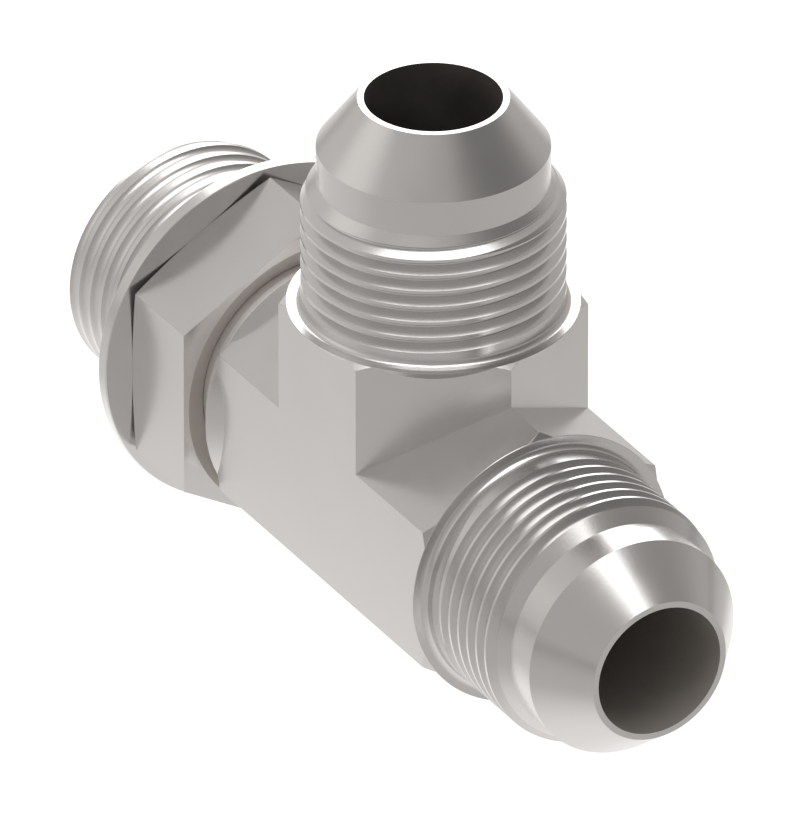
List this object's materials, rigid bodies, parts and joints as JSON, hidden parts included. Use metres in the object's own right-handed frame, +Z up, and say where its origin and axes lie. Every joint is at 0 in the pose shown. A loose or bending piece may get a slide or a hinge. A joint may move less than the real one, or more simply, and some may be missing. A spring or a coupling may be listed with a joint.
{
  "type": "adjustable run tee adapter",
  "caption": "Steel run tee with a flare end on the branch and on the run, and an adjustable threaded stud with locknut, backup washer and O-ring.",
  "frame": {"origin": "where the run axis and the branch axis cross, in the middle of the body", "axes": "+X along the run towards its flare end, -X along the stud, +Z up the branch, and the flats of both arms face +Y and -Y"},
  "size_m": [0.0693, 0.0268, 0.0445],
  "materials": {
    "body_steel": "satin bright zinc plating",
    "nut_steel": "satin bright zinc plating",
    "washer_steel": "satin bright zinc plating",
    "seal_rubber": "smooth black nitrile rubber"
  },
  "bodies": {
    "tee": {"tee_body": "body_steel"},
    "washer": {"backup_washer": "washer_steel", "o_ring": "seal_rubber"},
    "nut": {"locknut": "nut_steel"}
  },
  "joints": [
    {"name": "washer_slide", "type": "slide", "parent": "tee", "child": "washer", "axis": [1, 0, 0], "range_m": [-0.0012, 0.00097]},
    {"name": "nut_turn", "type": "hinge", "parent": "washer", "child": "nut", "pos_m": [-0.0202, 0, 0], "axis": [1, 0, 0], "range_deg": [-272.2, 220]}
  ],
  "couplings": [
    {"joint": "nut_turn", "follows": "washer_slide", "rad_per_m": 3957.9}
  ]
}
